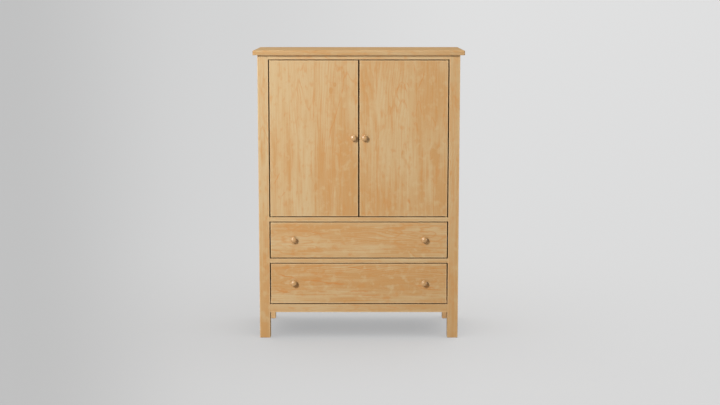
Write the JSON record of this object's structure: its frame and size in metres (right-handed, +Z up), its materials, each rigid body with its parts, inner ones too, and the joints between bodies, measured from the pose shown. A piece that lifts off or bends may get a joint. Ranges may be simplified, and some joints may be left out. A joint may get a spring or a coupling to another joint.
{
  "type": "tv armoire",
  "caption": "Tall wooden cabinet for a television: inset slab doors over a shelved bay with cable holes, wide drawers on full-extension slides below, square post legs and an overhanging top.",
  "frame": {"origin": "on the floor, under the middle of the overall box, knobs included", "axes": "+Z up, -Y towards the front with the doors and drawers, +X to the right seen from the front"},
  "size_m": [1.067, 0.538, 1.4805],
  "materials": {
    "maple": "clear satin lacquer over natural maple",
    "knob_maple": "turned maple, clear satin lacquer",
    "drawer_box_maple": "pale maple, clear sealer",
    "plywood": "maple-faced plywood, clear sealer",
    "zinc_steel": "zinc plated",
    "hinge_brass": "satin brass",
    "catch_plastic": "brown moulded plastic with steel pole faces"
  },
  "bodies": {
    "case": {"top_board": "maple", "front_left_post": "maple", "front_right_post": "maple", "rear_left_post": "maple", "rear_right_post": "maple", "left_side_panel": "maple", "right_side_panel": "maple", "front_top_rail": "maple", "middle_rail": "maple", "drawer_divider": "maple", "bottom_rail": "maple", "rear_top_rail": "maple", "rear_bottom_rail": "maple", "back_panel": "plywood", "tv_deck": "maple", "adjustable_shelf": "maple", "shelf_pins": "zinc_steel", "top_screws": "zinc_steel", "back_panel_screws": "zinc_steel", "hinge_case_leaves": "hinge_brass", "hinge_case_screws": "hinge_brass", "door_catch": "catch_plastic", "upper_slide_cleats": "drawer_box_maple", "lower_slide_cleats": "drawer_box_maple", "upper_slide_case_members": "zinc_steel", "lower_slide_case_members": "zinc_steel"},
    "left_door": {"left_door": "maple", "left_door_knob": "knob_maple", "left_door_knob_screw": "zinc_steel", "left_door_hinge_leaves": "hinge_brass", "left_door_hinge_screws": "hinge_brass", "left_door_strike": "zinc_steel"},
    "right_door": {"right_door": "maple", "right_door_knob": "knob_maple", "right_door_knob_screw": "zinc_steel", "right_door_hinge_leaves": "hinge_brass", "right_door_hinge_screws": "hinge_brass", "right_door_strike": "zinc_steel"},
    "upper_drawer": {"upper_drawer_front": "maple", "upper_drawer_box_front": "drawer_box_maple", "upper_drawer_box_back": "drawer_box_maple", "upper_drawer_box_left": "drawer_box_maple", "upper_drawer_box_right": "drawer_box_maple", "upper_drawer_bottom": "plywood", "upper_drawer_knobs": "knob_maple", "upper_drawer_knob_screws": "zinc_steel", "upper_drawer_front_screws": "zinc_steel", "upper_slide_drawer_members": "zinc_steel"},
    "upper_slide_middles": {"upper_slide_middle_members": "zinc_steel"},
    "lower_drawer": {"lower_drawer_front": "maple", "lower_drawer_box_front": "drawer_box_maple", "lower_drawer_box_back": "drawer_box_maple", "lower_drawer_box_left": "drawer_box_maple", "lower_drawer_box_right": "drawer_box_maple", "lower_drawer_bottom": "plywood", "lower_drawer_knobs": "knob_maple", "lower_drawer_knob_screws": "zinc_steel", "lower_drawer_front_screws": "zinc_steel", "lower_slide_drawer_members": "zinc_steel"},
    "lower_slide_middles": {"lower_slide_middle_members": "zinc_steel"}
  },
  "joints": [
    {"name": "left_door_hinge", "type": "hinge", "parent": "case", "child": "left_door", "pos_m": [-0.446, -0.2355, 1.033], "axis": [0, 0, -1], "range_deg": [0, 110]},
    {"name": "right_door_hinge", "type": "hinge", "parent": "case", "child": "right_door", "pos_m": [0.446, -0.2355, 1.033], "axis": [0, 0, 1], "range_deg": [0, 110]},
    {"name": "upper_drawer_slide", "type": "slide", "parent": "case", "child": "upper_drawer", "axis": [0, -1, 0], "range_m": [0, 0.4]},
    {"name": "upper_slide_extension", "type": "slide", "parent": "case", "child": "upper_slide_middles", "axis": [0, -1, 0], "range_m": [0, 0.2]},
    {"name": "lower_drawer_slide", "type": "slide", "parent": "case", "child": "lower_drawer", "axis": [0, -1, 0], "range_m": [0, 0.4]},
    {"name": "lower_slide_extension", "type": "slide", "parent": "case", "child": "lower_slide_middles", "axis": [0, -1, 0], "range_m": [0, 0.2]}
  ],
  "couplings": [
    {"joint": "upper_slide_extension", "follows": "upper_drawer_slide", "ratio": 0.5},
    {"joint": "lower_slide_extension", "follows": "lower_drawer_slide", "ratio": 0.5}
  ]
}
